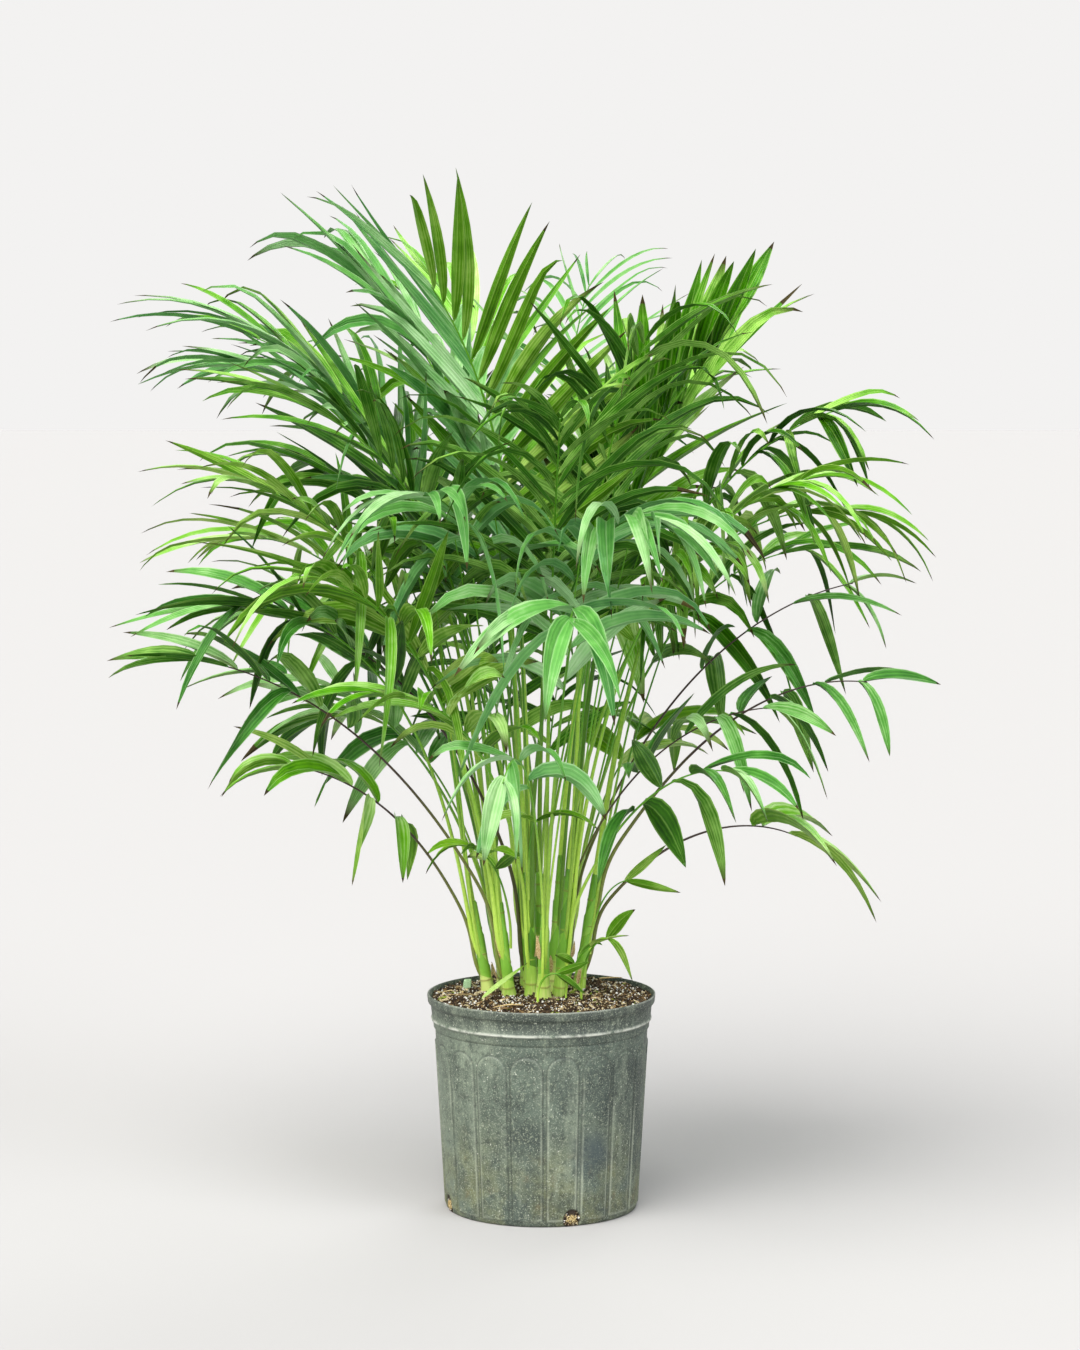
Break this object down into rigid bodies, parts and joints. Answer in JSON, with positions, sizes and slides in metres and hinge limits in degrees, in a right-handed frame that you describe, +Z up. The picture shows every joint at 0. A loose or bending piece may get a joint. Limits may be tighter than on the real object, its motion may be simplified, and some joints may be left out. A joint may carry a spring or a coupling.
{
  "type": "potted cat palm",
  "caption": "Clump of slender green palm canes with arching feather fronds, growing in a round fluted nursery pot filled with potting mix.",
  "frame": {"origin": "centre of the pot's flat underside", "axes": "+Z up the clump, front of the plant faces -Y as in the picture, +X to its right"},
  "size_m": [0.9437, 0.9332, 1.1478],
  "materials": {
    "pot_plastic": "thin moulded nursery-pot plastic, dusty dark grey-green with algae low down",
    "potting_mix": "damp peat and bark with white perlite",
    "cane": "smooth yellow-green leaf sheath, waxy",
    "frond": "living palm leaf, mid to deep green, soft waxy sheen"
  },
  "bodies": {
    "root": {"pot": "pot_plastic", "soil": "potting_mix", "cane_01": "cane", "cane_02": "cane", "cane_03": "cane", "cane_04": "cane", "cane_05": "cane", "cane_06": "cane", "cane_07": "cane", "cane_08": "cane", "cane_09": "cane", "cane_10": "cane", "cane_11": "cane", "cane_12": "cane", "cane_13": "cane", "cane_14": "cane", "frond_01_low": "frond", "frond_01_middle": "frond", "frond_01_top": "frond", "frond_02_low": "frond", "frond_02_middle": "frond", "frond_02_top": "frond", "frond_03_low": "frond", "frond_03_middle": "frond", "frond_03_top": "frond", "frond_04_low": "frond", "frond_04_middle": "frond", "frond_04_top": "frond", "frond_05_low": "frond", "frond_05_middle": "frond", "frond_05_top": "frond", "frond_06_low": "frond", "frond_06_middle": "frond", "frond_06_top": "frond", "frond_07_low": "frond", "frond_07_middle": "frond", "frond_07_top": "frond", "frond_08_low": "frond", "frond_08_middle": "frond", "frond_08_top": "frond", "frond_09_low": "frond", "frond_09_middle": "frond", "frond_09_top": "frond", "frond_10_low": "frond", "frond_10_middle": "frond", "frond_10_top": "frond", "frond_11_low": "frond", "frond_11_middle": "frond", "frond_11_top": "frond", "frond_12_low": "frond", "frond_12_middle": "frond", "frond_12_top": "frond", "frond_13_low": "frond", "frond_13_middle": "frond", "frond_13_top": "frond", "frond_14_low": "frond", "frond_14_middle": "frond", "frond_14_top": "frond", "sprout": "frond"}
  },
  "joints": []
}
